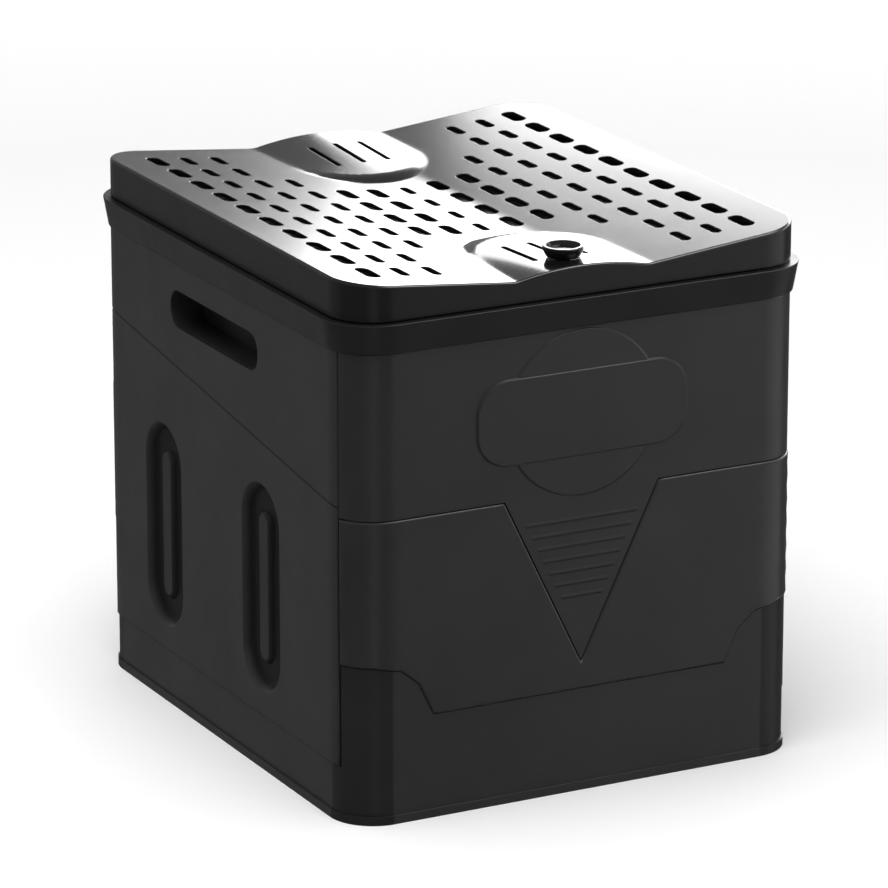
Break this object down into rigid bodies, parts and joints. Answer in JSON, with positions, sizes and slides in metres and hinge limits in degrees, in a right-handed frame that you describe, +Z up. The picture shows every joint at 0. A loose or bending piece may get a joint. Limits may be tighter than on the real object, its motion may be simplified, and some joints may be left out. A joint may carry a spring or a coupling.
{
  "type": "portable camp toilet",
  "caption": "Black folding box toilet with a perforated hinged lid, seat ring, bag ring, turn knob, folding end panels and hand holes.",
  "frame": {"origin": "centre of the flat underside of the base tray, in the plane that stands on the ground", "axes": "+Z up through the seat opening, -Y towards the front with the emblem and the latch knob, +X to the right hand end"},
  "size_m": [0.294, 0.349, 0.3102],
  "materials": {
    "body_plastic": "satin moulded black",
    "rim_plastic": "satin moulded black",
    "lid_plastic": "polished black",
    "seat_plastic": "smooth dark grey",
    "knob_plastic": "polished black",
    "rubber": "soft matte",
    "steel": "drawn wire"
  },
  "bodies": {
    "base": {"base_tray": "body_plastic", "anti_slip_pads": "rubber", "front_lower_wall": "body_plastic", "front_upper_wall": "body_plastic", "back_lower_wall": "body_plastic", "back_upper_wall": "body_plastic", "front_wall_rods": "steel", "back_wall_rods": "steel", "upper_frame": "rim_plastic", "left_handle_cup": "body_plastic", "right_handle_cup": "body_plastic", "left_flap_rods": "steel", "right_flap_rods": "steel", "bag_ring": "seat_plastic", "lid_hinge_pins": "steel"},
    "seat": {"seat_front_left": "seat_plastic", "seat_front_right": "seat_plastic", "seat_back_left": "seat_plastic", "seat_back_right": "seat_plastic", "seat_bumpers": "rubber"},
    "lid": {"lid_cover": "lid_plastic", "lid_inner_panel": "body_plastic", "lid_screws": "steel", "lid_bumpers": "rubber"},
    "knob": {"latch_knob": "knob_plastic", "latch_cam": "knob_plastic", "latch_screw": "steel"},
    "left_flap": {"left_end_flap": "body_plastic"},
    "right_flap": {"right_end_flap": "body_plastic"}
  },
  "joints": [
    {"name": "seat_hinge", "type": "hinge", "parent": "base", "child": "seat", "pos_m": [0, 0.175, 0.284], "axis": [-1, 0, 0], "range_deg": [0, 95]},
    {"name": "lid_hinge", "type": "hinge", "parent": "seat", "child": "lid", "pos_m": [0, 0.175, 0.284], "axis": [-1, 0, 0], "range_deg": [0, 105]},
    {"name": "latch_turn", "type": "hinge", "parent": "lid", "child": "knob", "pos_m": [0, -0.141, 0.3], "axis": [0, 0, -1], "range_deg": [0, 90]},
    {"name": "left_flap_fold", "type": "hinge", "parent": "base", "child": "left_flap", "pos_m": [-0.1355, 0, 0.029], "axis": [0, 1, 0], "range_deg": [0, 90]},
    {"name": "right_flap_fold", "type": "hinge", "parent": "base", "child": "right_flap", "pos_m": [0.1355, 0, 0.029], "axis": [0, -1, 0], "range_deg": [0, 84]}
  ]
}
